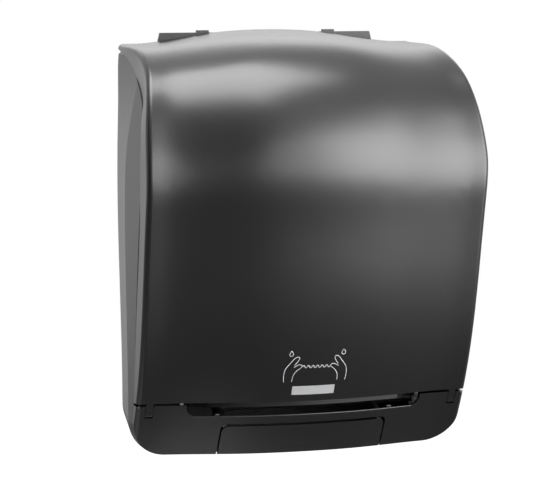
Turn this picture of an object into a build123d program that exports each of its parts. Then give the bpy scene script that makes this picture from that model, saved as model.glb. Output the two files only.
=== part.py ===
"""Wall-mounted roll towel dispenser with a push lever, a cutting drum and a bottom-hinged cover.

Units are millimetres. +Z is up, +X is to the right of a person who faces the dispenser, and
the front faces -Y. The wall is the plane Y = 0, and the origin is the centre of the four wall
screws on that plane.
"""

from build123d import *
import math
import os

os.makedirs("parts", exist_ok=True)

# ------------------------------------------------------------------ driving dimensions
TOP_Z = 201.6                 # top of the cover at the wall
BOTTOM_Z = -202.4             # underside of the housing
HALF_WIDTH = 167.6            # half of the greatest width
WALL = 2.8                    # moulded wall thickness
SEAM_Z = -148.7               # level of the seam between the cover and the chin
SEAM_GAP = 2.6                # height of that seam
CORNER_R = 34.0               # bottom corners, seen from the front
EDGE_R = 5.0                  # soft edge between the front and the sides
SHOULDER_BACK = 29.2          # the shoulders lie this far behind the middle of the front
SHOULDER_DOWN = 10.0          # and this far below it
BOW_END = 0.713               # the bow ends at this share of the half width
BOW_FOOT = 0.878              # and the flat shoulder starts at this one
CREASE_Y = -97.0              # the side walls draw in behind this plane
PART_GAP = 0.5                # gap between the cover's rim and the side walls
BACK_T = 3.5                  # back plate
CORNER_TOP = 186.0            # top of the back housing

# side profile of the front, from below the chin up over the top to the wall, as (Y, Z)
FRONT_PROFILE = [
    (-98, -245), (-127.3, -200), (-156.6, -148), (-180.5, -90), (-196, -30),
    (-207.5, 30), (-216, 88), (-206.5, 125), (-188, 157), (-160, 180.5),
    (-124, 192.5), (-60, 198.8), (0, TOP_Z),
]
# side profile of the line where the cover's rim meets the side walls, as (Y, Z)
RIM_PROFILE = [
    (-72, -250), (-97, -200), (-109.5, -176), (-119, -150), (-126.5, -110),
    (-144.5, -20), (-158.5, 60), (-152.9, 109.4), (-126.6, 138.6), (-92.7, 159.4),
    (-64.8, 172), (-26.5, 180.7), (4, 184),
]
# half widths of the housing's outline, as (level, at the crease, at the wall)
SIDE_WIDTHS = [
    (40, 167.5, 151.4), (109, 163.5, 150.8), (139, 158.0, 150.2), (178, 152.0, 149.6),
]

HINGE_Y, HINGE_Z = -123.8, -157.5      # cover hinge axis
HINGE_PIN_R = 2.0
EAR_IN, EAR_OUT = 149.1, 155.9         # sides of the cover's hinge ears
LEVER_HALF_W = 81.7
LEVER_TOP_Z = -172.5
LEVER_GAP, LEVER_TOP_GAP = 1.6, 2.4    # groove beside the lever and above it
LEVER_PIN_R = 2.5
SLOT_HALF_W = 117.5
SLOT_DROP = 12.6
SLOT_R = 9.5

DRUM_Y, DRUM_Z = -92.0, -88.0          # cutting drum axis
DRUM_R = 40.0
DRUM_WALL = 3.0
DRUM_HALF_L = 107.0
DISC_T = 4.0
SHAFT_R = 4.0
GRIP_R = 40.8                          # rubber grip rings
PINCH_R = 9.0
PINCH_ANGLE = 160.0                    # place of the pinch roller round the drum, degrees
FRAME_X = 117.0                        # inner face of the mechanism's side plates
FRAME_T = 3.0
RUN = 0.05                             # radial clearance of every running fit

GEAR_MODULE = 1.5
SECTOR_TEETH = 92                      # whole circle of the sector gear
PINION_TEETH = 22
GEAR_X = 122.0                         # near face of both gears
GEAR_T = 5.0
PRESSURE_ANGLE = 20.0
BACKLASH = 0.5
LINE_ANGLE = 69.5                      # direction from the lever axis to the drum axis

ROLL_Y, ROLL_Z = -98.0, 82.0           # towel roll axis
CORE_R = 18.5                          # plug that enters the roll's core
ROLL_HALF_L = 105.0
ARM_X = 109.0                          # inner face of the roll arms
ARM_T = 4.0
SPINDLE_R = 5.0

SCREW_DX, SCREW_DZ = 210.0, 260.0      # wall screw spacing
SCREW_HOLE_R = 3.0
TAB_HALF_W, TAB_Z = 108.5, 198.4       # tab of the back plate above the cover

gear_distance = GEAR_MODULE * (SECTOR_TEETH + PINION_TEETH) / 2
LEVER_Y = DRUM_Y - gear_distance * math.cos(math.radians(LINE_ANGLE))
LEVER_Z = DRUM_Z - gear_distance * math.sin(math.radians(LINE_ANGLE))
pinch_distance = GRIP_R + PINCH_R + 0.3
PINCH_Y = DRUM_Y + pinch_distance * math.cos(math.radians(PINCH_ANGLE))
PINCH_Z = DRUM_Z + pinch_distance * math.sin(math.radians(PINCH_ANGLE))


def save(piece, label):
    """Labels a finished piece and writes its STEP file."""
    piece.part.label = label
    export_step(piece.part, f"parts/{label}.step")


def block(x_range, y_range, z_range, mode=Mode.ADD):
    """Box between two corners, given as ranges."""
    ranges = (x_range, y_range, z_range)
    middle = tuple((low + high) / 2 for low, high in ranges)
    with Locations(middle):
        Box(*(abs(high - low) for low, high in ranges), mode=mode)


def rod(x_range, y, z, radius, mode=Mode.ADD):
    """Round bar along X."""
    low, high = x_range
    with Locations(((low + high) / 2, y, z)):
        Cylinder(radius, abs(high - low), rotation=(0, 90, 0), mode=mode)


def hull_plate(x_range, circles, boxes=()):
    """Flat plate square to X. Its outline is the hull of circles and rectangles."""
    low, high = sorted(x_range)
    with BuildPart() as plate:
        with BuildSketch(Plane.YZ.offset(low)):
            for y, z, radius in circles:
                with Locations((y, z)):
                    Circle(radius)
            for y, z, width, height in boxes:
                with Locations((y, z)):
                    Rectangle(width, height)
            make_hull()
        extrude(amount=high - low)
    return plate.part


def polar(y, z, radius, angle):
    """Point at a radius and an angle in degrees round an axis along X."""
    turn = math.radians(angle)
    return y + radius * math.cos(turn), z + radius * math.sin(turn)


# ------------------------------------------------------------------ front form
with BuildLine(Plane.YZ) as front_line:
    Spline(*FRONT_PROFILE)
spine = front_line.edges()[0]

# half widths of the sections, which stand evenly spaced along the spine
HALF_WIDTHS = [165.0, 165.2, 165.8, 166.8, HALF_WIDTH, 166.2, 158.4, 153.6, 150.2]
STATIONS = {index / 8: half for index, half in enumerate(HALF_WIDTHS)}
LOW_STATIONS = [0.0, 0.125, 0.25, 0.375, 0.5]


def station_plane(share):
    """Plane square to the spine. Its local Y points into the dispenser."""
    return Plane(spine.position_at(share), x_dir=(1, 0, 0), z_dir=spine.tangent_at(share))


def shoulder_sag(share):
    """Depth of the shoulders below the crown, measured square to the spine."""
    return Vector(0, SHOULDER_BACK, -SHOULDER_DOWN).dot(station_plane(share).y_dir)


def crown(half, sag, off, end):
    """Bowed front line of half a section, from the middle to the flat shoulder."""
    bow, foot = BOW_END * half, BOW_FOOT * half
    share = bow / foot
    return Spline(
        (0, off), (bow / 2, sag * share / 4 + off), (bow, sag * share + off),
        (foot, sag + off), (end, sag + off), tangents=[(1, 0), (1, 0)],
    )


def soft_corner(end, half, top):
    """Quarter round from the shoulder into the side."""
    radius = half - end
    bite = radius * (1 - math.sqrt(0.5))
    return ThreePointArc((end, top), (half - bite, top + bite), (half, top + radius))


def rim_section(share, depth=30.0):
    """Thin C-shaped section of the front shell."""
    half, sag = STATIONS[share], shoulder_sag(share)
    with BuildSketch(station_plane(share)) as section:
        with BuildLine():
            crown(half, sag, 0, half - EDGE_R)
            soft_corner(half - EDGE_R, half, sag)
            side = Line((half, sag + EDGE_R), (half, sag + depth))
            foot = Line(side @ 1, (half - WALL, sag + depth))
            Line(foot @ 1, (half - WALL, sag + WALL))
            crown(half, sag, WALL, half - WALL)
            mirror(about=Plane.YZ)
        make_face()
    return section.sketch


def block_section(share, inset, depth=75.0):
    """Filled section of the lower front, set in by inset."""
    half, sag = STATIONS[share], shoulder_sag(share)
    with BuildSketch(station_plane(share)) as section:
        with BuildLine():
            if inset:
                front = crown(half, sag, inset, half - inset)
            else:
                front = crown(half, sag, 0, half - EDGE_R)
                front = soft_corner(half - EDGE_R, half, sag)
            side = Line(front @ 1, (half - inset, sag + depth))
            Line(side @ 1, (0, sag + depth))
            mirror(about=Plane.YZ)
        make_face()
    return section.sketch


def band_section(share, low, high):
    """Band that follows the front form from low to high below its surface."""
    half, sag = STATIONS[share] + 4, shoulder_sag(share)
    with BuildSketch(station_plane(share)) as section:
        with BuildLine():
            outer = crown(half, sag, low, half)
            Line(outer @ 1, (half, sag + high))
            crown(half, sag, high, half)
            mirror(about=Plane.YZ)
        make_face()
    return section.sketch


def front_block(inset):
    """Filled lower front, from below the chin to above the seam."""
    sections = [block_section(share, inset) for share in LOW_STATIONS]
    with BuildPart() as filled:
        sweep(sections=sections, path=spine.trim(0, LOW_STATIONS[-1]), multisection=True)
    return filled.part


def rim_region(shift):
    """Everything in front of the rim line, the line moved forward by shift."""
    with BuildPart() as region:
        with BuildSketch(Plane.YZ):
            with BuildLine():
                rim = Spline(*[(y - shift, z + shift / 2) for y, z in RIM_PROFILE])
                Polyline(rim @ 1, rim @ 1 + Vector(0, 60), (-260, 255), (-260, -260),
                         rim @ 0 + Vector(0, -20), rim @ 0)
            make_face()
        extrude(amount=200, both=True)
    return region.part


def outline(back, inset, top):
    """Housing outline seen from the front, on the plane Y = back."""
    share = back / CREASE_Y
    widths = [(share * front + (1 - share) * rear - inset, level)
              for level, front, rear in SIDE_WIDTHS]
    floor, radius = BOTTOM_Z + inset, CORNER_R - inset
    low = share * 165.0 + (1 - share) * 147.4 - inset
    high, last = widths[-1]
    with BuildSketch(Plane.XZ.offset(-back)) as sketch:
        with BuildLine():
            base = Line((0, floor), (low - radius, floor))
            turn = JernArc(base @ 1, (1, 0), radius, 90)
            side = Spline(turn @ 1, *widths, tangents=[(0, 1), (-0.1, 1)])
            crest = Line(side @ 1, (high - (top - last), top))
            Line(crest @ 1, (0, top))
            mirror(about=Plane.YZ)
        make_face()
    return sketch.sketch


def outline_prism(inset):
    """The straight front-view outline over the whole depth."""
    face = outline(CREASE_Y, inset, 190)
    with BuildPart() as prism:
        extrude(face, amount=133, both=True)
    return prism.part


def housing_block(inset, back, top):
    """Filled housing: drawn in behind the crease and straight in front of it."""
    rear = outline(back, inset, top)
    crease = outline(CREASE_Y, inset, top)
    with BuildPart() as filled:
        loft(sections=[rear, crease], ruled=True)
        extrude(crease, amount=80)
    return filled.part


front_outer = front_block(0)
front_inner = front_block(WALL)
prism_outer = outline_prism(0)
prism_inner = outline_prism(WALL)
before_rim = rim_region(0)
before_rim_gap = rim_region(-PART_GAP)

# ------------------------------------------------------------------ lock and its catch
LOCK_Y, LOCK_Z = -134.0, 90.0          # lock axis in the right side wall
lock_catch = hull_plate((152, 155), [(-126, 116, 4), (-170, 116, 6)])
catch_prong = hull_plate((152, 155), [(-126, 114, 2), (-126, 107.5, 2)])

# ------------------------------------------------------------------ cover
PLATE_SHARE = 0.2                      # name plate's place along the spine
PLATE_HALF_W, PLATE_HALF_H = 21.0, 4.7


def plate_prism(grow, low, high):
    """Curved plate between two levels of the front surface."""
    half = PLATE_HALF_W + grow
    drop = shoulder_sag(PLATE_SHARE) * half ** 2 / (BOW_END * BOW_FOOT * 164.6 ** 2)
    with BuildPart() as prism:
        with BuildSketch(station_plane(PLATE_SHARE)):
            with BuildLine():
                face = ThreePointArc((-half, drop + low), (0, low), (half, drop + low))
                end = Line(face @ 1, (half, drop + high))
                back = ThreePointArc(end @ 1, (0, high), (-half, drop + high))
                Line(back @ 1, face @ 0)
            make_face()
        extrude(amount=PLATE_HALF_H + grow, both=True)
    return prism.part


plate_recess = plate_prism(0.15, -5, 1.2)
cover_ears = [hull_plate((sign * EAR_IN, sign * EAR_OUT), [(HINGE_Y, HINGE_Z, 4)],
                         [(-130.5, -139, 6, 8)]) for sign in (-1, 1)]

# the ears are filled out to the front form, so that they close the chin's notches
with BuildPart() as ear_fronts:
    for sign in (-1, 1):
        block((sign * EAR_IN, sign * EAR_OUT), (-150, HINGE_Y), (-161, -146))
    add(front_outer, mode=Mode.INTERSECT)

rim_sections = [rim_section(share) for share in STATIONS]

with BuildPart() as cover_shell:
    sweep(sections=rim_sections, path=spine, multisection=True)
    add(before_rim, mode=Mode.INTERSECT)
    block((-200, 200), (-260, 10), (-260, SEAM_Z + SEAM_GAP / 2), mode=Mode.SUBTRACT)
    block((-200, 200), (-BACK_T - 0.8, 30), (100, 230), mode=Mode.SUBTRACT)
    add(plate_recess, mode=Mode.SUBTRACT)
    add(cover_ears)
    add(ear_fronts.part)
    add(lock_catch)
    add(catch_prong)
    for sign in (-1, 1):
        rod((sign * 144, sign * 160), HINGE_Y, HINGE_Z, HINGE_PIN_R + RUN, mode=Mode.SUBTRACT)
save(cover_shell, "cover_shell")

with BuildPart() as name_plate:
    add(plate_prism(0, -0.5, 1.1))
save(name_plate, "name_plate")

# ------------------------------------------------------------------ chin
def lever_window(gap, top_gap):
    """Space of the lever flap in the chin's front and floor."""
    half, top = LEVER_HALF_W + gap, LEVER_TOP_Z + top_gap
    with BuildPart() as window:
        with BuildSketch(Plane.XZ.offset(104)):
            with BuildLine():
                base = Line((0, -215), (half, -215))
                side = Line(base @ 1, (half, top - 6))
                turn = JernArc(side @ 1, (0, 1), 6, 90)
                Line(turn @ 1, (0, top))
                mirror(about=Plane.YZ)
            make_face()
        extrude(amount=60)
    return window.part


window_gap = lever_window(LEVER_GAP, LEVER_TOP_GAP)
window_flap = lever_window(0, 0)
chin_lugs = [hull_plate((sign * low, sign * high), [(HINGE_Y, HINGE_Z, 3.8)],
                        [(-121, -168, 7, 10)])
             for sign in (-1, 1) for low, high in ((143.2, 148.2), (156.8, 162.0))]
lever_lugs = [hull_plate((sign * 84.4, sign * 88.6), [(LEVER_Y, LEVER_Z, 5)],
                         [(-131.5, -166, 4, 12)]) for sign in (-1, 1)]

with BuildPart() as chin_lug_forms:
    add(chin_lugs)
    add(lever_lugs)
    add(front_outer, mode=Mode.INTERSECT)

with BuildPart() as slot_cut:
    with BuildSketch(Plane.XZ.offset(110)):
        with BuildLine():
            slot_low = SEAM_Z - SLOT_DROP
            base = Line((0, slot_low), (SLOT_HALF_W - SLOT_R, slot_low))
            turn = JernArc(base @ 1, (1, 0), SLOT_R, 90)
            side = Line(turn @ 1, (SLOT_HALF_W, SEAM_Z + 5))
            Line(side @ 1, (0, SEAM_Z + 5))
            mirror(about=Plane.YZ)
        make_face()
    extrude(amount=60)

with BuildPart() as chin_hollow:
    add(front_inner)
    add(prism_inner, mode=Mode.INTERSECT)

with BuildPart() as chin:
    add(front_outer)
    add(prism_outer, mode=Mode.INTERSECT)
    add(chin_hollow.part, mode=Mode.SUBTRACT)
    add(before_rim, mode=Mode.INTERSECT)
    block((-200, 200), (-260, 10), (SEAM_Z - SEAM_GAP / 2, 260), mode=Mode.SUBTRACT)
    add(slot_cut.part, mode=Mode.SUBTRACT)
    add(window_gap, mode=Mode.SUBTRACT)
    for sign in (-1, 1):
        block((sign * 148.6, sign * 156.4), (-150, -118), (-162.6, -140), mode=Mode.SUBTRACT)
        # room for the lower edge of the cover's sides as the cover swings
        block((sign * 161.6, sign * 170), (-140, -130), (-151.5, -148), mode=Mode.SUBTRACT)
    add(chin_lug_forms.part)
    for sign in (-1, 1):
        rod((sign * 140, sign * 160.4), HINGE_Y, HINGE_Z, HINGE_PIN_R, mode=Mode.SUBTRACT)
        rod((sign * 80, sign * 92), LEVER_Y, LEVER_Z, LEVER_PIN_R, mode=Mode.SUBTRACT)
save(chin, "chin")

with BuildPart() as cover_hinge_pins:
    for sign in (-1, 1):
        rod((sign * 143.2, sign * 160.2), HINGE_Y, HINGE_Z, HINGE_PIN_R)
save(cover_hinge_pins, "cover_hinge_pins")

# ------------------------------------------------------------------ back housing
BOSS_Y = -7.5                          # front of the screw bosses on the back plate
PILOT_R = 1.7
FRAME_SCREWS = [(-126, -60), (-126, -120), (126, -60), (126, -120),
                (-121, 56), (-121, 108), (124, 60), (124, 104)]
LOCK_SLEEVE_R = 8.0
housing_outer = housing_block(0, 0, CORNER_TOP)
housing_inner = housing_block(WALL, -BACK_T, CORNER_TOP - WALL)
lid_bands = [band_section(share, -9, WALL + 1.2) for share in STATIONS]

with BuildPart() as lid_space:
    sweep(sections=lid_bands, path=spine, multisection=True)
    block((-200, 200), (-260, 10), (-300, 100), mode=Mode.SUBTRACT)

with BuildPart() as tab_plate:
    with BuildSketch(Plane.XZ):
        with BuildLine():
            low = Line((0, CORNER_TOP - 12), (TAB_HALF_W + 3, CORNER_TOP - 12))
            Polyline(low @ 1, (TAB_HALF_W + 3, CORNER_TOP), (TAB_HALF_W, TAB_Z), (0, TAB_Z))
            mirror(about=Plane.YZ)
        make_face()
        for side in (-1, 1):
            with Locations((side * 65, TAB_Z - 1.5)):
                Rectangle(12.5, 7.4)
    extrude(amount=BACK_T)

with BuildPart() as back_housing:
    add(housing_outer)
    add(housing_inner, mode=Mode.SUBTRACT)
    add(before_rim_gap, mode=Mode.SUBTRACT)
    add(lid_space.part, mode=Mode.SUBTRACT)
    add(tab_plate.part)
    with Locations(Plane.XZ):
        with GridLocations(SCREW_DX, SCREW_DZ, 2, 2):
            Cylinder(SCREW_HOLE_R, 20, mode=Mode.SUBTRACT)
    for x, z in FRAME_SCREWS:
        with Locations((x, (BOSS_Y - BACK_T) / 2, z)):
            Cylinder(5, BACK_T - BOSS_Y - 2 * BACK_T, rotation=(90, 0, 0))
        with Locations((x, BOSS_Y / 2 - 1.5, z)):
            Cylinder(PILOT_R, 5, rotation=(90, 0, 0), mode=Mode.SUBTRACT)
    rod((140, 180), LOCK_Y, LOCK_Z, LOCK_SLEEVE_R, mode=Mode.SUBTRACT)
    rod((165.9, 180), LOCK_Y, LOCK_Z, LOCK_SLEEVE_R + 2.5, mode=Mode.SUBTRACT)
save(back_housing, "back_housing")

# ------------------------------------------------------------------ feed lever
BAR_Y, BAR_Z = -95.0, -160.0           # cross bar that joins the lever to the sector gear
lever_cheeks = [hull_plate((sign * 76, sign * 80), [(LEVER_Y, LEVER_Z, 5), (BAR_Y, BAR_Z, 5)],
                           [(-126, -184, 9, 13)]) for sign in (-1, 1)]

with BuildPart() as lever_body:
    add(lever_cheeks)
    add(front_outer, mode=Mode.INTERSECT)

with BuildPart() as feed_lever:
    add(front_outer)
    add(prism_outer, mode=Mode.INTERSECT)
    add(front_inner, mode=Mode.SUBTRACT)
    add(window_flap, mode=Mode.INTERSECT)
    add(lever_body.part)
    rod((-76, GEAR_X + GEAR_T), BAR_Y, BAR_Z, 4)
    for sign in (-1, 1):
        rod((sign * 75, sign * 81), LEVER_Y, LEVER_Z, LEVER_PIN_R + RUN, mode=Mode.SUBTRACT)
save(feed_lever, "feed_lever")

with BuildPart() as lever_pins:
    for sign in (-1, 1):
        rod((sign * 75, sign * 89), LEVER_Y, LEVER_Z, LEVER_PIN_R)
save(lever_pins, "lever_pins")


# ------------------------------------------------------------------ gears
def involute(angle):
    """Involute function of a pressure angle in radians."""
    return math.tan(angle) - angle


def tooth(teeth, centre, middle_angle):
    """Outline of one involute gear tooth as a list of (Y, Z) points."""
    pitch_r = GEAR_MODULE * teeth / 2
    base_r = pitch_r * math.cos(math.radians(PRESSURE_ANGLE))
    root_r, tip_r = pitch_r - 1.25 * GEAR_MODULE, pitch_r + GEAR_MODULE
    at_pitch = math.pi / (2 * teeth) - BACKLASH / (2 * pitch_r)
    at_pitch += involute(math.radians(PRESSURE_ANGLE))
    flank = [(root_r - 0.6, at_pitch - involute(math.acos(base_r / max(root_r, base_r))))]
    for step in range(4):
        radius = max(root_r, base_r) + (tip_r - max(root_r, base_r)) * step / 3
        flank.append((radius, at_pitch - involute(math.acos(min(1, base_r / radius)))))
    outline_points = []
    for side, points in ((-1, flank), (1, reversed(flank))):
        for radius, half in points:
            angle = middle_angle + side * math.degrees(half)
            outline_points.append(polar(*centre, radius, angle))
    return outline_points


with BuildPart() as sector_gear:
    with BuildSketch(Plane.YZ.offset(GEAR_X)):
        with Locations((BAR_Y, BAR_Z)):
            Circle(8)
        for angle in (47, 55.5, 64, 72.5):
            with Locations(polar(LEVER_Y, LEVER_Z, 62, angle)):
                Circle(5)
        make_hull()
        with Locations(polar(LEVER_Y, LEVER_Z, 52, 53)):
            Circle(5, mode=Mode.SUBTRACT)
        for index in range(-6, 2):
            middle_angle = LINE_ANGLE + index * 360 / SECTOR_TEETH
            with BuildLine():
                Polyline(*tooth(SECTOR_TEETH, (LEVER_Y, LEVER_Z), middle_angle), close=True)
            make_face()
    extrude(amount=GEAR_T)
    rod((GEAR_X - 1, GEAR_X + GEAR_T + 1), BAR_Y, BAR_Z, 4, mode=Mode.SUBTRACT)
save(sector_gear, "sector_gear")

with BuildPart() as feed_pinion:
    with BuildSketch(Plane.YZ.offset(GEAR_X)):
        with Locations((DRUM_Y, DRUM_Z)):
            Circle(GEAR_MODULE * PINION_TEETH / 2 - 1.25 * GEAR_MODULE)
        for index in range(PINION_TEETH):
            middle_angle = LINE_ANGLE + 180 + (index + 0.5) * 360 / PINION_TEETH
            with BuildLine():
                Polyline(*tooth(PINION_TEETH, (DRUM_Y, DRUM_Z), middle_angle), close=True)
            make_face()
    extrude(amount=GEAR_T)
    rod((120.4, GEAR_X + GEAR_T + 0.4), DRUM_Y, DRUM_Z, 8)
    rod((119, 130), DRUM_Y, DRUM_Z, SHAFT_R + RUN, mode=Mode.SUBTRACT)
save(feed_pinion, "feed_pinion")

# ------------------------------------------------------------------ mechanism frame
PAWL_Y, PAWL_Z = -62.0, -66.0
FLANGE_T = 3.0
side_outline = [
    (BOSS_Y, -36), (BOSS_Y, -140), (-104, -142), (-107, -154), (-121, -154), (-125, -140),
    (-148, -84), (-149, -64), (-138, -56), (-104, -36),
]

with BuildPart() as side_plate_right:
    with BuildSketch(Plane.YZ.offset(FRAME_X)):
        with BuildLine():
            Polyline(*side_outline, close=True)
        make_face()
        inner_corners = [vertex for vertex in vertices() if vertex.X < -10]
        fillet(inner_corners, 3)
    extrude(amount=FRAME_T)
    block((FRAME_X, FRAME_X + 17), (BOSS_Y - FLANGE_T, BOSS_Y), (-136, -44))
    rod((115, 122), DRUM_Y, DRUM_Z, 6.5, mode=Mode.SUBTRACT)
    rod((115, 122), PINCH_Y, PINCH_Z, 2.5, mode=Mode.SUBTRACT)
    for z in (-56, -124):
        rod((115, 122), -30, z, 2, mode=Mode.SUBTRACT)
    with Locations((126, -9, -60), (126, -9, -120)):
        Cylinder(PILOT_R, 10, rotation=(90, 0, 0), mode=Mode.SUBTRACT)
save(side_plate_right, "side_plate_right")

mirrored_plate = mirror(side_plate_right.part, about=Plane.YZ)
with BuildPart() as side_plate_left:
    add(mirrored_plate)
    rod((-122, -115), PAWL_Y, PAWL_Z, 2.5, mode=Mode.SUBTRACT)
save(side_plate_left, "side_plate_left")

with BuildPart() as tie_bars:
    for z in (-56, -124):
        rod((-FRAME_X, FRAME_X), -30, z, 3.5)
        rod((-FRAME_X - 4.5, FRAME_X + 4.5), -30, z, 2)
save(tie_bars, "tie_bars")

with BuildPart() as drum_bushes:
    for sign in (-1, 1):
        rod((sign * 117, sign * 120), DRUM_Y, DRUM_Z, 6.5)
        rod((sign * 113, sign * 117), DRUM_Y, DRUM_Z, 8.5)
        rod((sign * 112, sign * 121), DRUM_Y, DRUM_Z, SHAFT_R + RUN, mode=Mode.SUBTRACT)
save(drum_bushes, "drum_bushes")

with BuildPart() as paper_guide:
    with BuildSketch(Plane.XY.offset(-153.5)):
        with BuildLine():
            front_arc = ThreePointArc((-96, -131), (0, -145), (96, -131))
            Polyline(front_arc @ 1, (FRAME_X, -120), (FRAME_X, -117), (95, -128.4))
            back_arc = ThreePointArc((95, -128.4), (0, -142.2), (-95, -128.4))
            Polyline(back_arc @ 1, (-FRAME_X, -117), (-FRAME_X, -120), front_arc @ 0)
        make_face()
    extrude(amount=13)
save(paper_guide, "paper_guide")

# ------------------------------------------------------------------ cutting drum
WINDOW_ANGLE = 315.0                   # where the blade's window faces
GRIP_XS = (-75.0, -25.0, 25.0, 75.0)
drum_plane = Plane((0, DRUM_Y, DRUM_Z), x_dir=(0, math.cos(math.radians(WINDOW_ANGLE)),
                   math.sin(math.radians(WINDOW_ANGLE))), z_dir=(1, 0, 0))
BLADE_PIVOT = (22.0, -16.0)            # in the drum's plane: outward, then along its turn
BLADE_REACH, BLADE_REST = 23.8, 57.0   # length and rest angle of the blade from its pivot

with BuildPart() as drum_window:
    with BuildSketch(drum_plane.offset(-98)):
        with Locations((40, -4)):
            Rectangle(24, 22)
    extrude(amount=196)

with BuildPart() as drum_shell:
    rod((-DRUM_HALF_L + DISC_T, DRUM_HALF_L - DISC_T), DRUM_Y, DRUM_Z, DRUM_R)
    rod((-DRUM_HALF_L, DRUM_HALF_L), DRUM_Y, DRUM_Z, DRUM_R - DRUM_WALL, mode=Mode.SUBTRACT)
    add(drum_window.part, mode=Mode.SUBTRACT)
save(drum_shell, "drum_shell")

with BuildPart() as drum_grips:
    for x in GRIP_XS:
        rod((x - 6, x + 6), DRUM_Y, DRUM_Z, GRIP_R)
        rod((x - 7, x + 7), DRUM_Y, DRUM_Z, DRUM_R, mode=Mode.SUBTRACT)
    add(drum_window.part, mode=Mode.SUBTRACT)
save(drum_grips, "drum_grips")

with BuildPart() as drum_disc_right:
    with BuildSketch(drum_plane.offset(DRUM_HALF_L - DISC_T)):
        Circle(DRUM_R)
        with PolarLocations(20, 5, start_angle=72):
            Circle(6, mode=Mode.SUBTRACT)
        with Locations(BLADE_PIVOT):
            Circle(5)
    extrude(amount=DISC_T)
    with BuildSketch(drum_plane.offset(92)):
        Circle(9)
    extrude(amount=12)
    with BuildSketch(drum_plane.offset(90)):
        Circle(SHAFT_R)
    extrude(amount=20, mode=Mode.SUBTRACT)
    with BuildSketch(drum_plane.offset(90)):
        with Locations(BLADE_PIVOT):
            Circle(2 + RUN)
    extrude(amount=20, mode=Mode.SUBTRACT)
save(drum_disc_right, "drum_disc_right")

mirrored_disc = mirror(drum_disc_right.part, about=Plane.YZ)
with BuildPart() as drum_disc_left:
    add(mirrored_disc)
save(drum_disc_left, "drum_disc_left")

with BuildPart() as drum_shaft:
    rod((-129, 130), DRUM_Y, DRUM_Z, SHAFT_R)
    chamfer(edges().filter_by(GeomType.CIRCLE), 0.6)
save(drum_shaft, "drum_shaft")

blade_angle = math.radians(WINDOW_ANGLE + BLADE_REST)
pivot_y, pivot_z = polar(DRUM_Y, DRUM_Z, BLADE_PIVOT[0], WINDOW_ANGLE)
pivot_y, pivot_z = polar(pivot_y, pivot_z, BLADE_PIVOT[1], WINDOW_ANGLE + 90)
# the blade's own plane: X along the drum, Y from the pivot towards the cutting edge
blade_plane = Plane((0, pivot_y, pivot_z), x_dir=(1, 0, 0),
                    z_dir=(0, -math.sin(blade_angle), math.cos(blade_angle)))

with BuildPart() as blade_carrier:
    with BuildSketch(drum_plane.offset(-98)):
        with Locations(BLADE_PIVOT):
            Circle(4)
        with Locations(Location((*polar(*BLADE_PIVOT, 7.5, BLADE_REST), 0), (0, 0, BLADE_REST))):
            Rectangle(15, 5)
    extrude(amount=196)
    with BuildSketch(drum_plane.offset(-106.5)):
        with Locations(BLADE_PIVOT):
            Circle(2)
    extrude(amount=213)
save(blade_carrier, "blade_carrier")

with BuildPart() as blade:
    with BuildSketch(blade_plane.offset(2.5)):
        with Locations((0, (BLADE_REACH - 2) / 2 + 3)):
            Rectangle(192, BLADE_REACH - 8)
        with Locations((0, BLADE_REACH - 1.6)):
            with GridLocations(4, 1, 48, 1):
                Triangle(a=4, b=3, c=3)
    extrude(amount=0.8)
save(blade, "blade")

RATCHET_TEETH = 24
with BuildPart() as ratchet_wheel:
    with BuildSketch(Plane.YZ.offset(-125)):
        with BuildLine():
            corners = []
            for index in range(RATCHET_TEETH):
                start = index * 360 / RATCHET_TEETH
                corners.append(polar(DRUM_Y, DRUM_Z, 17, start))
                corners.append(polar(DRUM_Y, DRUM_Z, 14.2, start + 1))
            Polyline(*corners, close=True)
        make_face()
    extrude(amount=3)
    rod((-125, -120.4), DRUM_Y, DRUM_Z, 7)
    rod((-130, -119), DRUM_Y, DRUM_Z, SHAFT_R, mode=Mode.SUBTRACT)
save(ratchet_wheel, "ratchet_wheel")

with BuildPart() as shaft_clips:
    for low, high in ((-126.4, -125.2), (127.7, 128.9)):
        rod((low, high), DRUM_Y, DRUM_Z, 6.5)
        rod((low - 1, high + 1), DRUM_Y, DRUM_Z, SHAFT_R, mode=Mode.SUBTRACT)
save(shaft_clips, "shaft_clips")

# ------------------------------------------------------------------ pinch roller and pawl
PINCH_SHAFT_R = 2.5
with BuildPart() as pinch_roller:
    rod((-100, 100), PINCH_Y, PINCH_Z, PINCH_R)
    chamfer(edges().filter_by(GeomType.CIRCLE), 1)
    rod((-101, 101), PINCH_Y, PINCH_Z, PINCH_SHAFT_R + RUN, mode=Mode.SUBTRACT)
save(pinch_roller, "pinch_roller")

with BuildPart() as pinch_shaft:
    rod((-121, 121), PINCH_Y, PINCH_Z, PINCH_SHAFT_R)
    for sign in (-1, 1):
        rod((sign * 101, sign * 117), PINCH_Y, PINCH_Z, 4)
save(pinch_shaft, "pinch_shaft")

pawl_tip = polar(DRUM_Y, DRUM_Z, 18.8, 60)
with BuildPart() as pawl:
    add(hull_plate((-125, -122), [(PAWL_Y, PAWL_Z, 5.5), (*pawl_tip, 1.2)]))
    rod((-122, -120.3), PAWL_Y, PAWL_Z, 4.5)
    rod((-126, -119), PAWL_Y, PAWL_Z, 2.5 + RUN, mode=Mode.SUBTRACT)
save(pawl, "pawl")

with BuildPart() as pawl_pin:
    rod((-125.3, -117), PAWL_Y, PAWL_Z, 2.5)
    rod((-127, -125.3), PAWL_Y, PAWL_Z, 4)
save(pawl_pin, "pawl_pin")

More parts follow.
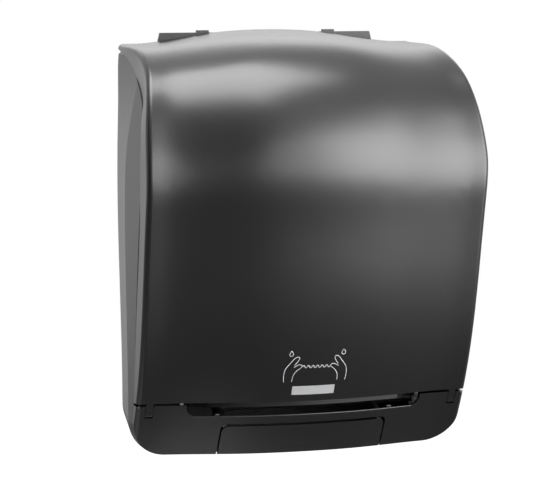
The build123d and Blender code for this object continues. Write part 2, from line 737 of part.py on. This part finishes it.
# ------------------------------------------------------------------ roll holder
with BuildPart() as roll_arm_left:
    add(hull_plate((-ARM_X - ARM_T, -ARM_X), [(ROLL_Y, ROLL_Z, 13)],
                   [((BOSS_Y - 12) / 2 - 3, ROLL_Z, 6 - BOSS_Y - 1.5, 76)]))
    block((-129, -ARM_X), (BOSS_Y - FLANGE_T, BOSS_Y), (44, 120))
    rod((-120, -100), ROLL_Y, ROLL_Z, SPINDLE_R + RUN, mode=Mode.SUBTRACT)
    with Locations((-121, -9, 56), (-121, -9, 108)):
        Cylinder(PILOT_R, 10, rotation=(90, 0, 0), mode=Mode.SUBTRACT)
save(roll_arm_left, "roll_arm_left")

ARM_PIVOT_Y = -18.0
arm_centre_x = ARM_X + ARM_T / 2
with BuildPart() as arm_bracket:
    block((103, 130), (BOSS_Y - FLANGE_T, BOSS_Y), (46, 118))
    for low, high in ((46, 54), (110, 118)):
        with BuildSketch(Plane.XY.offset(low)):
            with Locations((arm_centre_x, ARM_PIVOT_Y)):
                Circle(6)
            with Locations((arm_centre_x, BOSS_Y - 1)):
                Rectangle(12, 2)
            make_hull()
        extrude(amount=high - low)
    with Locations((arm_centre_x, ARM_PIVOT_Y, 82)):
        Cylinder(2.5, 80, mode=Mode.SUBTRACT)
    with Locations((124, -9, 60), (124, -9, 104)):
        Cylinder(PILOT_R, 10, rotation=(90, 0, 0), mode=Mode.SUBTRACT)
save(arm_bracket, "arm_bracket")

with BuildPart() as arm_pin:
    with Locations((arm_centre_x, ARM_PIVOT_Y, 82)):
        Cylinder(2.5, 73)
    with Locations((arm_centre_x, ARM_PIVOT_Y, 119)):
        Cylinder(4, 2)
save(arm_pin, "arm_pin")

with BuildPart() as roll_arm_right:
    add(hull_plate((ARM_X, ARM_X + ARM_T), [(ROLL_Y, ROLL_Z, 13)],
                   [(ARM_PIVOT_Y - 2, ROLL_Z, 4, 54)]))
    with Locations((arm_centre_x, ARM_PIVOT_Y, ROLL_Z)):
        Cylinder(6, 54)
        Cylinder(2.5 + RUN, 60, mode=Mode.SUBTRACT)
    rod((100, 120), ROLL_Y, ROLL_Z, SPINDLE_R + RUN, mode=Mode.SUBTRACT)
save(roll_arm_right, "roll_arm_right")

with BuildPart() as hub_left:
    with BuildSketch(Plane.XY.offset(ROLL_Z)):
        with BuildLine():
            Polyline((-115.6, ROLL_Y), (-115.6, ROLL_Y + 6.5), (-113.2, ROLL_Y + 7),
                     (-113.2, ROLL_Y + SPINDLE_R), (-108.8, ROLL_Y + SPINDLE_R),
                     (-108.8, ROLL_Y + 26), (-106.4, ROLL_Y + 26), (-106.4, ROLL_Y + CORE_R),
                     (-95, ROLL_Y + CORE_R - 1), (-92, ROLL_Y + CORE_R - 5),
                     (-92, ROLL_Y), close=True)
        make_face()
    revolve(axis=Axis((0, ROLL_Y, ROLL_Z), (1, 0, 0)))
save(hub_left, "hub_left")

mirrored_hub = mirror(hub_left.part, about=Plane.YZ)
with BuildPart() as hub_right:
    add(mirrored_hub)
save(hub_right, "hub_right")

with BuildPart() as frame_screws:
    for x, z in FRAME_SCREWS:
        with Locations((x, BOSS_Y - FLANGE_T - 1.2, z)):
            Cylinder(3.6, 2.4, rotation=(90, 0, 0))
        with Locations((x, BOSS_Y - FLANGE_T + 3.2, z)):
            Cylinder(PILOT_R, 6.4, rotation=(90, 0, 0))
        for width, height in ((4.4, 0.9), (0.9, 4.4)):
            with Locations((x, BOSS_Y - FLANGE_T - 2.2, z)):
                Box(width, 1.6, height, mode=Mode.SUBTRACT)
save(frame_screws, "frame_screws")

# ------------------------------------------------------------------ lock
BARREL_R = 6.0
with BuildPart() as lock_sleeve:
    rod((156, 167), LOCK_Y, LOCK_Z, LOCK_SLEEVE_R)
    rod((165.9, 167.3), LOCK_Y, LOCK_Z, 10.5)
    rod((150, 170), LOCK_Y, LOCK_Z, BARREL_R + RUN, mode=Mode.SUBTRACT)
save(lock_sleeve, "lock_sleeve")

with BuildPart() as lock_barrel:
    rod((155.6, 167.1), LOCK_Y, LOCK_Z, BARREL_R)
    rod((155.6, 156), LOCK_Y, LOCK_Z, 7.4)
    block((164.5, 168), (LOCK_Y - 3.6, LOCK_Y + 3.6), (LOCK_Z - 0.8, LOCK_Z + 0.8),
          mode=Mode.SUBTRACT)
save(lock_barrel, "lock_barrel")

# the cam rests pointing forward and turns a quarter up to stand in front of the catch's prong
with BuildPart() as lock_cam:
    add(hull_plate((151.6, 155.6), [(LOCK_Y, LOCK_Z, 5), (LOCK_Y - 18, LOCK_Z, 2.2)]))
save(lock_cam, "lock_cam")
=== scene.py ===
"""Finish, sign and studio for a wall-mounted lever towel dispenser."""

import bpy
import bmesh
import math
from bpy.props import FloatProperty, FloatVectorProperty, PointerProperty
from mathutils import Matrix, Vector


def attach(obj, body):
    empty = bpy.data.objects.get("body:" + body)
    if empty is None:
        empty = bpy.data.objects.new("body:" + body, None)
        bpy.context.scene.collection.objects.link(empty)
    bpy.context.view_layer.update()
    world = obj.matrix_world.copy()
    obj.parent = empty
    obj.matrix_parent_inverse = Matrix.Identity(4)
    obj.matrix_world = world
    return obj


bl_info = {
    "name": "Lever Towel Dispenser",
    "version": (1, 0, 0),
    "blender": (4, 5, 0),
    "location": "View3D > Sidebar > Dispenser",
    "description": "Gives the dispenser its finishes, its hand sign and a small studio",
    "category": "Object",
}

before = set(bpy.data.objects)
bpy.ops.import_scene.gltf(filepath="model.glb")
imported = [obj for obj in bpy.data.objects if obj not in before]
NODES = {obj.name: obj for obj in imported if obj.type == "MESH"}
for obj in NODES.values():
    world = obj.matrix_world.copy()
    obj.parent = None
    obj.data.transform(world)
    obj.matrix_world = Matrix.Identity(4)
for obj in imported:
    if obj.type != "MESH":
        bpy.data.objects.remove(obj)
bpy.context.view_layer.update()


# ---------------------------------------------------------------- shader maths
class Signal:
    """A shader socket that can be used in Python expressions."""

    def __init__(self, maker, socket):
        self.maker = maker
        self.socket = socket

    def _math(self, operation, first, second):
        return self.maker.node("ShaderNodeMath", {"operation": operation},
                               {0: first, 1: second})["Value"]

    def __add__(self, other):
        return self._math("ADD", self, other)

    __radd__ = __add__

    def __mul__(self, other):
        return self._math("MULTIPLY", self, other)

    __rmul__ = __mul__

    def at_least(self, other):
        """The larger of this signal and another."""
        return self._math("MAXIMUM", self, other)


class NodeMaker:
    """Adds nodes to a tree."""

    def __init__(self, tree):
        self.tree = tree

    def node(self, kind, settings=None, inputs=None):
        """Adds a node, its settings first and its sockets after them, and returns its outputs."""
        made = self.tree.nodes.new(kind)
        for key, value in (settings or {}).items():
            setattr(made, key, value)
        for key, value in (inputs or {}).items():
            socket = made.inputs[key]
            if isinstance(key, str):
                socket = next(s for s in made.inputs if s.name == key and s.enabled)
            if isinstance(value, Signal):
                self.tree.links.new(value.socket, socket)
            else:
                socket.default_value = value
        return {output.name: Signal(self, output) for output in made.outputs if output.enabled}


class Finish(NodeMaker):
    """A material under construction, on one Principled shader."""

    def __init__(self, name, **constants):
        self.material = bpy.data.materials.new(name)
        self.material.use_nodes = True
        super().__init__(self.material.node_tree)
        self.shader = self.tree.nodes["Principled BSDF"]
        for socket, value in constants.items():
            self.shader.inputs[socket.replace("_", " ")].default_value = value

    def link(self, socket, signal):
        """Feeds one of the shader's sockets."""
        self.tree.links.new(signal.socket, self.shader.inputs[socket])

    def place(self, scale=(1, 1, 1)):
        """Object coordinates, scaled along each axis."""
        where = self.node("ShaderNodeTexCoord")["Object"]
        return self.node("ShaderNodeMapping", None,
                         {"Vector": where, "Scale": scale})["Vector"]

    def noise(self, scale, detail=2.0, roughness=0.5, vector=None):
        """Noise on the object, as a value between 0 and 1."""
        return self.node("ShaderNodeTexNoise", None,
                         {"Vector": vector or self.place(), "Scale": scale,
                          "Detail": detail, "Roughness": roughness})["Fac"]

    def tint(self, factor, first, second):
        """Mix of two colours."""
        return self.node("ShaderNodeMix", {"data_type": "RGBA"},
                         {"Factor": factor, "A": (*first, 1), "B": (*second, 1)})["Result"]

    def bump(self, height, strength, distance):
        """Bump from a height, fed to Normal."""
        self.link("Normal", self.node("ShaderNodeBump", None,
                  {"Height": height, "Strength": strength, "Distance": distance})["Normal"])


def shade(colour, factor):
    """A colour made lighter or darker."""
    return tuple(min(1.0, part * factor) for part in colour)


# noise scales are in waves per metre of the object
PLASTIC_CLOUD, PLASTIC_GRAIN = 14.0, 1500.0
SMOOTH_CLOUD, SMOOTH_GRAIN = 9.0, 420.0
RUBBER_DUST, RUBBER_GRAIN = 60.0, 900.0
METAL_CLOUD = 25.0


def moulded(name, colour, rough, grain, specular=0.5):
    """Moulded plastic with a fine grain and a slightly uneven gloss."""
    made = Finish(name, Specular_IOR_Level=specular)
    cloud = made.noise(PLASTIC_CLOUD, 3.0)
    speck = made.noise(PLASTIC_GRAIN, 2.0, 0.6)
    made.link("Base Color", made.tint(cloud * 0.5 + speck * 0.5,
                                      shade(colour, 0.8), shade(colour, 1.25)))
    made.link("Roughness", rough - 0.03 + cloud * 0.03 + speck * 0.03)
    made.bump(speck, grain, 0.0003)
    return made.material


def smooth_plastic(name, colour, rough):
    """Smooth moulded plastic."""
    made = Finish(name)
    cloud = made.noise(SMOOTH_CLOUD, 3.0)
    made.link("Base Color", made.tint(cloud, shade(colour, 0.93), shade(colour, 1.07)))
    made.link("Roughness", rough - 0.04 + cloud * 0.08)
    made.bump(made.noise(SMOOTH_GRAIN, 2.0), 0.08, 0.0002)
    return made.material


def rubber(name, colour):
    """Matt rubber."""
    made = Finish(name, Specular_IOR_Level=0.35)
    dust = made.noise(RUBBER_DUST, 4.0)
    made.link("Base Color", made.tint(dust, colour, shade(colour, 1.7)))
    made.link("Roughness", 0.7 + dust * 0.15)
    made.bump(made.noise(RUBBER_GRAIN, 3.0), 0.3, 0.0003)
    return made.material


def brushed(name, colour, rough, stretch, metal=1.0):
    """Metal with fine brushed lines. Stretch scales the pattern, metal is its metallic share."""
    made = Finish(name, Metallic=metal)
    lines = made.noise(1.0, 4.0, 0.7, made.place(stretch))
    cloud = made.noise(METAL_CLOUD, 2.0)
    made.link("Base Color", made.tint(lines * 0.7 + cloud * 0.3,
                                      shade(colour, 0.8), shade(colour, 1.15)))
    made.link("Roughness", rough - 0.07 + lines * 0.14)
    made.bump(lines, 0.15, 0.0001)
    return made.material


# ---------------------------------------------------------------- settings
def colour_property(name, description, default):
    """A colour setting."""
    return FloatVectorProperty(name=name, description=description, subtype="COLOR", size=3,
                               min=0.0, max=1.0, default=default)


def share_property(name, description, default):
    """A setting between 0 and 1."""
    return FloatProperty(name=name, description=description, default=default,
                         min=0.0, max=1.0, subtype="FACTOR")


def power_property(name, description, default):
    """The power of a lamp, in watts."""
    return FloatProperty(name=name, description=description, default=default,
                         min=0.0, max=200.0, subtype="POWER", unit="POWER")


class DispenserFinish(bpy.types.PropertyGroup):
    """Colours and gloss of the plastics and metals."""
    case_colour: colour_property("Case", "Colour of the cover, chin, lever and housing",
                                 (0.0085, 0.0085, 0.009))
    case_roughness: share_property("Case roughness", "Roughness of the case", 0.32)
    case_specular: share_property("Case specular", "Specular level of the case", 0.5)
    frame_colour: colour_property("Frame", "Colour of the inner frame and arms",
                                  (0.19, 0.2, 0.21))
    hub_colour: colour_property("Hubs", "Colour of the roll hubs", (0.05, 0.17, 0.32))
    drum_colour: colour_property("Drum", "Colour of the cutting drum", (0.33, 0.34, 0.35))
    gear_colour: colour_property("Gears", "Colour of the gears", (0.72, 0.71, 0.66))
    steel_colour: colour_property("Steel", "Colour of pins and shafts", (0.56, 0.57, 0.58))
    plate_colour: colour_property("Plate", "Colour of the bare metal plate",
                                  (0.78, 0.78, 0.79))


class DispenserSign(bpy.types.PropertyGroup):
    """The hand sign on the cover."""
    width: FloatProperty(name="Width", description="Width of the sign", default=0.061,
                         min=0.02, max=0.12, subtype="DISTANCE", unit="LENGTH")
    level: FloatProperty(name="Level", description="Height of the sign's middle",
                         default=-0.1115, subtype="DISTANCE", unit="LENGTH")
    line: FloatProperty(name="Line", description="Width of the sign's lines",
                        default=0.0009, min=0.0002, max=0.003, subtype="DISTANCE",
                        unit="LENGTH")
    ink: colour_property("Ink", "Colour of the printed lines", (0.5, 0.5, 0.51))


class DispenserTrim(bpy.types.PropertyGroup):
    """The rounded lip along the towel slot."""
    radius: FloatProperty(name="Lip radius", description="Radius of the slot's lip",
                          default=0.0007, min=0.0002, max=0.002, subtype="DISTANCE",
                          unit="LENGTH")
    half_width: FloatProperty(name="Lip half width", description="Half length of the lip",
                              default=0.1095, min=0.05, max=0.12, subtype="DISTANCE",
                              unit="LENGTH")
    level: FloatProperty(name="Lip level", description="Height of the slot's lower edge",
                         default=-0.1613, subtype="DISTANCE", unit="LENGTH")


class DispenserStudio(bpy.types.PropertyGroup):
    """Light, floor and camera."""
    ambient: FloatProperty(name="Ambient", description="Strength of the room's light",
                           default=0.2, min=0.0, max=3.0)
    top_light: power_property("Top light", "Power of the overhead softbox", 40.0)
    side_light: power_property("Side light", "Power of the side softbox", 50.0)
    broad_light: power_property("Broad light", "Power of the wide softbox behind it", 34.0)
    low_light: power_property("Low light", "Power of the strip below the side softbox", 0.8)
    back_light: power_property("Back light", "Power of the rear strip", 3.5)
    floor_drop: FloatProperty(name="Floor drop", description="Height of the floor",
                              default=-1.3, subtype="DISTANCE", unit="LENGTH")
    floor_colour: colour_property("Floor", "Colour of the floor", (0.8, 0.8, 0.8))


# ---------------------------------------------------------------- helpers
def dress(slots):
    """Gives CAD nodes their materials, by the name of the slot that each node has."""
    missing = set(slots)
    for node in NODES.values():
        for place in node.material_slots:
            name = place.material.name.split(".")[0] if place.material else ""
            if name in slots and place.material is not slots[name]:
                place.material = slots[name]
                missing.discard(name)
    if missing:
        raise RuntimeError("no node has the slots " + ", ".join(sorted(missing)))


AHEAD_Y = -0.4  # a plane clear in front of the dispenser


def touch_front(node, x, z):
    """Point on the front of a node at this X and Z, and the outward normal there."""
    hit, point, normal, _ = node.ray_cast(Vector((x, AHEAD_Y, z)), Vector((0, 1, 0)))
    if not hit:
        raise RuntimeError(f"nothing of {node.name} at {x:.4f}, {z:.4f}")
    return point, normal


def line_piece(name, strokes, radius, body, material, sink):
    """Thin raised lines that lie on a surface, sunk into it by sink.

    A stroke is a list of (point, normal), and whether it is closed.
    """
    curve = bpy.data.curves.new(name + "_path", "CURVE")
    curve.dimensions = "3D"
    curve.bevel_depth = radius
    curve.bevel_resolution = 2
    curve.use_fill_caps = True
    for points, closed in strokes:
        spline = curve.splines.new("POLY")
        spline.points.add(len(points) - 1)
        spline.use_cyclic_u = closed
        for target, (point, normal) in zip(spline.points, points):
            target.co = (*(point - normal * sink), 1)
    carrier = bpy.data.objects.new(name + "_carrier", curve)
    mesh = bpy.data.meshes.new_from_object(carrier)
    bpy.data.objects.remove(carrier)
    bpy.data.curves.remove(curve)
    mesh.name = name
    mesh.materials.clear()
    mesh.materials.append(material)
    mesh.polygons.foreach_set("use_smooth", [True] * len(mesh.polygons))
    piece = bpy.data.objects.new(name, mesh)
    bpy.context.scene.collection.objects.link(piece)
    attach(piece, body)


def rounded(corners, closed=False, steps=7):
    """Smooth line through the corners, as a list of (x, z)."""
    count = len(corners)
    spans = count if closed else count - 1
    line = []
    for index in range(spans):
        if closed:
            near = [corners[(index + shift) % count] for shift in (-1, 0, 1, 2)]
        else:
            near = [corners[min(max(index + shift, 0), count - 1)] for shift in (-1, 0, 1, 2)]
        before, start, end, after = (Vector(point) for point in near)
        for step in range(steps):
            t = step / steps
            line.append(0.5 * (2 * start + (end - before) * t
                               + (2 * before - 5 * start + 4 * end - after) * t ** 2
                               + (3 * start - before - 3 * end + after) * t ** 3))
    if not closed:
        line.append(Vector(corners[-1]))
    return line


# ---------------------------------------------------------------- finishes
class DISPENSER_OT_case(bpy.types.Operator):
    """Gives the cover, chin, lever, housing and guide their black plastic"""
    bl_idname = "dispenser.case"
    bl_label = "Case"

    def execute(self, context):
        look = context.scene.dispenser_finish
        colour, rough = look.case_colour, look.case_roughness
        level = look.case_specular
        dress({
            "cover_plastic": moulded("cover_plastic_satin", colour, rough, 0.22, level),
            # painted light: the housing is a lighter copy of the case colour, standing for the
            # light that falls on its side wall
            "housing_plastic": moulded("housing_plastic_satin", shade(colour, 1.15),
                                       rough + 0.06, 0.25, level * 0.8),
            "chin_plastic": moulded("chin_plastic_satin", colour, rough, 0.15, level),
            "lever_plastic": moulded("lever_plastic_satin", shade(colour, 1.1),
                                     rough - 0.02, 0.15, level),
            # painted shade: the guide is a darker, duller copy of the case plastic, standing for
            # the shade inside the towel slot
            "guide_plastic": moulded("guide_plastic_black", shade(colour, 0.5),
                                     rough - 0.06, 0.1, level * 0.25),
        })
        return {"FINISHED"}


class DISPENSER_OT_inner_plastics(bpy.types.Operator):
    """Gives the frame, hubs, drum, gears and grips their plastics and rubber"""
    bl_idname = "dispenser.inner_plastics"
    bl_label = "Inner plastics"

    def execute(self, context):
        look = context.scene.dispenser_finish
        dress({
            "frame_plastic": moulded("frame_plastic_grey", look.frame_colour, 0.5, 0.2),
            "hub_plastic": moulded("hub_plastic_blue", look.hub_colour, 0.42, 0.15),
            "drum_plastic": moulded("drum_plastic_light", look.drum_colour, 0.45, 0.15),
            "gear_plastic": smooth_plastic("gear_plastic_natural", look.gear_colour, 0.32),
            "grip_rubber": rubber("grip_rubber_matt", (0.03, 0.03, 0.03)),
        })
        return {"FINISHED"}


class DISPENSER_OT_metals(bpy.types.Operator):
    """Gives the shafts, blade, screws, lock and plate their metals"""
    bl_idname = "dispenser.metals"
    bl_label = "Metals"

    def execute(self, context):
        look = context.scene.dispenser_finish
        steel = look.steel_colour
        dress({
            "steel": brushed("steel_drawn", steel, 0.32, (20.0, 700.0, 700.0)),
            "blade_steel": brushed("blade_steel_ground", shade(steel, 1.15), 0.25,
                                   (900.0, 60.0, 60.0)),
            "screw_steel": brushed("screw_steel_plated", shade(steel, 1.05), 0.28,
                                   (300.0, 300.0, 300.0)),
            "lock_metal": brushed("lock_metal_plated", steel, 0.24, (200.0, 200.0, 200.0)),
            "plate_metal": brushed("plate_metal_brushed", look.plate_colour, 0.42,
                                   (40.0, 1200.0, 1600.0), 0.75),
        })
        return {"FINISHED"}


# ---------------------------------------------------------------- hand sign
# one hand of the sign as lines of (x, z) corners on a grid; the other hand mirrors it
GRID_WIDTH = 60
FINGER = [(-30.0, -15.0), (-30.6, -8.0), (-29.6, -2.0), (-26.0, 3.0), (-21.6, 8.4),
          (-18.6, 9.6), (-17.2, 7.8), (-19.0, 4.4), (-21.4, 1.4)]
THUMB = [(-21.8, -0.6), (-17.6, 1.6), (-14.6, 1.4), (-14.4, -0.8), (-18.6, -4.2),
         (-21.4, -8.6), (-22.2, -15.0)]
DROP = [(-25.4, 15.6), (-23.7, 12.6), (-24.4, 10.8), (-26.4, 10.8), (-27.1, 12.6)]
WAVES = 6
WAVE_HEIGHT = 1.3
WAVE_STEPS = 10
TOWEL_HALF = 13.4
TOWEL_LEVEL = -0.4


def towel_edge():
    """Wavy torn edge between the two hands."""
    steps = WAVES * WAVE_STEPS
    line = []
    for index in range(steps + 1):
        x = -TOWEL_HALF + 2 * TOWEL_HALF * index / steps
        wave = math.sin(2 * math.pi * WAVES * index / steps)
        line.append((x, TOWEL_LEVEL + WAVE_HEIGHT * wave))
    return line


class DISPENSER_OT_sign(bpy.types.Operator):
    """Prints the two hands that draw a towel on the cover"""
    bl_idname = "dispenser.sign"
    bl_label = "Hand sign"

    def execute(self, context):
        sign = context.scene.dispenser_sign
        cover = NODES["cover_shell"]
        size = sign.width / GRID_WIDTH
        ink = Finish("sign_ink")
        dab = ink.noise(700.0, 2.0)
        ink.link("Base Color", ink.tint(dab, shade(sign.ink, 0.85), shade(sign.ink, 1.1)))
        ink.link("Roughness", 0.45 + dab * 0.1)

        lines = [(towel_edge(), False)]
        for side in (1, -1):
            for corners, closed in ((FINGER, False), (THUMB, False), (DROP, True)):
                turned = [(side * x, z) for x, z in corners]
                lines.append((rounded(turned, closed), closed))
        strokes = []
        for line, closed in lines:
            points = [touch_front(cover, x * size, sign.level + z * size) for x, z in line]
            strokes.append((points, closed))
        line_piece("hand_sign", strokes, sign.line / 2, "cover",
                   ink.material, sign.line * 0.35)
        return {"FINISHED"}


# ---------------------------------------------------------------- slot lip
LIP_STEPS = 60
LIP_DROP = 0.0006  # the lip is set on the chin this far below the slot's edge


class DISPENSER_OT_lip(bpy.types.Operator):
    """Rounds the lower edge of the towel slot with a thin lip"""
    bl_idname = "dispenser.lip"
    bl_label = "Slot lip"

    def execute(self, context):
        trim = context.scene.dispenser_trim
        chin = NODES["chin"]
        points = []
        for index in range(LIP_STEPS + 1):
            x = -trim.half_width + 2 * trim.half_width * index / LIP_STEPS
            points.append(touch_front(chin, x, trim.level - LIP_DROP))
        look = context.scene.dispenser_finish
        # painted highlight: the lip is a lighter copy of the case colour, so the slot's lower
        # edge reads as a bright line
        plastic = moulded("lip_plastic_satin", shade(look.case_colour, 1.4),
                          look.case_roughness - 0.06, 0.1)
        line_piece("slot_lip", [(points, False)], trim.radius, "dispenser",
                   plastic, trim.radius * 0.55)
        return {"FINISHED"}


# ---------------------------------------------------------------- studio
LOOK_YAW, LOOK_PITCH, LOOK_ROLL = 0.294, 0.1123, 0.0016
CAMERA_PLACE = (-0.77321, -2.59833, 0.29562)
FOCAL_PIXELS, PICTURE_WIDTH, SENSOR = 2717.68, 555, 36.0
FLOOR_HALF = 6.0
FLOOR_GLOW = (0.9, 0.9, 0.9)
# each softbox: name, the setting with its power, size, place, and the point that it faces
SOFTBOXES = (
    ("Top softbox", "top_light", (1.1, 1.1), (-0.2, -0.3, 1.5), (0.0, -0.15, 0.15)),
    ("Side softbox", "side_light", (1.5, 1.5), (1.05, -1.3, 0.26), (0.0, -0.15, 0.05)),
    ("Broad softbox", "broad_light", (2.6, 1.5), (0.72, -1.69, 0.27), (0.0, -0.15, 0.05)),
    ("Low softbox", "low_light", (2.0, 0.2), (0.87, -1.49, -0.47), (0.0, -0.15, 0.05)),
    ("Rear strip", "back_light", (1.6, 0.4), (0.45, 1.2, 0.75), (0.0, -0.05, 0.2)),
)
# each black card: name, size, place, and the point that it faces
CARDS = (
    ("flag_left", (2.6, 3.2), (-1.25, -1.3, 0.45), (0.0, -0.15, 0.0)),
    ("flag_low", (3.0, 2.2), (0.3, -0.6, -1.15), (0.0, -0.15, -0.1)),
)


def aim(place, target):
    """Placing matrix for a lamp or a card at place that faces target."""
    turn = (Vector(target) - Vector(place)).to_track_quat("-Z", "Y")
    return Matrix.Translation(place) @ turn.to_matrix().to_4x4()


def softbox(name, power, size, place, target):
    """Rectangular area lamp."""
    lamp = bpy.data.lights.new(name, "AREA")
    lamp.shape = "RECTANGLE"
    lamp.size, lamp.size_y = size
    lamp.energy = power
    carrier = bpy.data.objects.new(name, lamp)
    carrier.matrix_world = aim(place, target)
    carrier.visible_camera = False
    bpy.context.scene.collection.objects.link(carrier)


def flag(name, size, place, target):
    """Black card that keeps a side of the room dark in reflections."""
    mesh = bpy.data.meshes.new(name)
    form = bmesh.new()
    bmesh.ops.create_grid(form, x_segments=1, y_segments=1, size=0.5)
    bmesh.ops.scale(form, vec=(*size, 1), verts=form.verts)
    bmesh.ops.transform(form, matrix=aim(place, target), verts=form.verts)
    form.to_mesh(mesh)
    form.free()
    felt = Finish(name + "_felt", Roughness=1.0, Specular_IOR_Level=0.0)
    felt.link("Base Color", felt.tint(felt.noise(30.0), (0.01, 0.01, 0.01),
                                      (0.02, 0.02, 0.02)))
    mesh.materials.append(felt.material)
    card = bpy.data.objects.new(name, mesh)
    card.visible_camera = False
    card.visible_shadow = False
    bpy.context.scene.collection.objects.link(card)


def add_camera():
    """Camera that stands to the left of the dispenser and a little above it."""
    yaw, pitch = LOOK_YAW, LOOK_PITCH
    ahead = Vector((math.sin(yaw) * math.cos(pitch), math.cos(yaw) * math.cos(pitch),
                    -math.sin(pitch)))
    right = Vector((math.cos(yaw), -math.sin(yaw), 0))
    up = right.cross(ahead)
    side = right * math.cos(LOOK_ROLL) + up * math.sin(LOOK_ROLL)
    rise = up * math.cos(LOOK_ROLL) - right * math.sin(LOOK_ROLL)
    turn = Matrix((side, rise, -ahead)).transposed().to_4x4()
    turn.translation = Vector(CAMERA_PLACE)
    lens = bpy.data.cameras.new("Camera")
    lens.sensor_width = SENSOR
    lens.lens = FOCAL_PIXELS * SENSOR / PICTURE_WIDTH
    camera = bpy.data.objects.new("Camera", lens)
    camera.matrix_world = turn
    bpy.context.scene.collection.objects.link(camera)
    bpy.context.scene.camera = camera


def seen_directly(maker):
    """1 for camera, glossy and transmission rays, and 0 for the rest."""
    path = maker.node("ShaderNodeLightPath")
    return path["Is Camera Ray"].at_least(path["Is Glossy Ray"]).at_least(
        path["Is Transmission Ray"])


def add_world(ambient):
    """Pale room: white where it is seen or mirrored, dimmer as a light."""
    world = bpy.data.worlds.new("Room")
    world.use_nodes = True
    bpy.context.scene.world = world
    maker = NodeMaker(world.node_tree)
    background = world.node_tree.nodes["Background"]
    background.inputs["Color"].default_value = (1, 1, 1, 1)
    strength = seen_directly(maker) * (1 - ambient) + ambient
    world.node_tree.links.new(strength.socket, background.inputs["Strength"])


def add_floor(level, colour):
    """Pale floor below the dispenser, white to the camera except in shadow."""
    mesh = bpy.data.meshes.new("floor")
    form = bmesh.new()
    bmesh.ops.create_grid(form, x_segments=1, y_segments=1, size=FLOOR_HALF,
                          matrix=Matrix.Translation((0, 0, level)))
    form.to_mesh(mesh)
    form.free()
    paint = Finish("floor_paint", Roughness=0.9, Specular_IOR_Level=0.0,
                   Emission_Strength=1.0)
    patch = paint.noise(0.8, 2.0)
    paint.link("Base Color", paint.tint(patch, shade(colour, 0.99), shade(colour, 1.01)))
    seen = paint.node("ShaderNodeLightPath")["Is Camera Ray"]
    paint.link("Emission Color", paint.tint(seen, (0, 0, 0), FLOOR_GLOW))
    mesh.materials.append(paint.material)
    floor = bpy.data.objects.new("floor", mesh)
    bpy.context.scene.collection.objects.link(floor)


class DISPENSER_OT_studio(bpy.types.Operator):
    """Sets up the floor, the room, the lamps and the camera"""
    bl_idname = "dispenser.studio"
    bl_label = "Studio"

    def execute(self, context):
        studio = context.scene.dispenser_studio
        add_floor(studio.floor_drop, studio.floor_colour)
        add_world(studio.ambient)
        for name, setting, size, place, target in SOFTBOXES:
            softbox(name, getattr(studio, setting), size, place, target)
        for name, size, place, target in CARDS:
            flag(name, size, place, target)
        add_camera()
        context.scene.view_settings.view_transform = "Standard"
        return {"FINISHED"}


# ---------------------------------------------------------------- panel and registration
STEPS = (DISPENSER_OT_case, DISPENSER_OT_inner_plastics, DISPENSER_OT_metals,
         DISPENSER_OT_sign, DISPENSER_OT_lip, DISPENSER_OT_studio)
SETTINGS = {
    "dispenser_finish": DispenserFinish,
    "dispenser_sign": DispenserSign,
    "dispenser_trim": DispenserTrim,
    "dispenser_studio": DispenserStudio,
}


class DISPENSER_PT_panel(bpy.types.Panel):
    """Settings and steps of the dispenser"""
    bl_idname = "DISPENSER_PT_panel"
    bl_label = "Dispenser"
    bl_space_type = "VIEW_3D"
    bl_region_type = "UI"
    bl_category = "Dispenser"

    def draw(self, context):
        layout = self.layout
        for key, group in SETTINGS.items():
            box = layout.box()
            box.label(text=group.__doc__.rstrip("."))
            for name in group.__annotations__:
                box.prop(getattr(context.scene, key), name)
        for step in STEPS:
            layout.operator(step.bl_idname)


def register():
    """Registers the classes and hangs the settings on the scene."""
    for group in SETTINGS.values():
        bpy.utils.register_class(group)
    for step in STEPS:
        bpy.utils.register_class(step)
    bpy.utils.register_class(DISPENSER_PT_panel)
    for key, group in SETTINGS.items():
        setattr(bpy.types.Scene, key, PointerProperty(type=group))


def unregister():
    """Takes the settings and the classes away again."""
    for key in SETTINGS:
        delattr(bpy.types.Scene, key)
    bpy.utils.unregister_class(DISPENSER_PT_panel)
    for step in reversed(STEPS):
        bpy.utils.unregister_class(step)
    for group in reversed(list(SETTINGS.values())):
        bpy.utils.unregister_class(group)


def main():
    """Registers and runs every step."""
    register()
    bpy.ops.dispenser.case()
    bpy.ops.dispenser.inner_plastics()
    bpy.ops.dispenser.metals()
    bpy.ops.dispenser.sign()
    bpy.ops.dispenser.lip()
    bpy.ops.dispenser.studio()


if __name__ == "__main__":
    main()
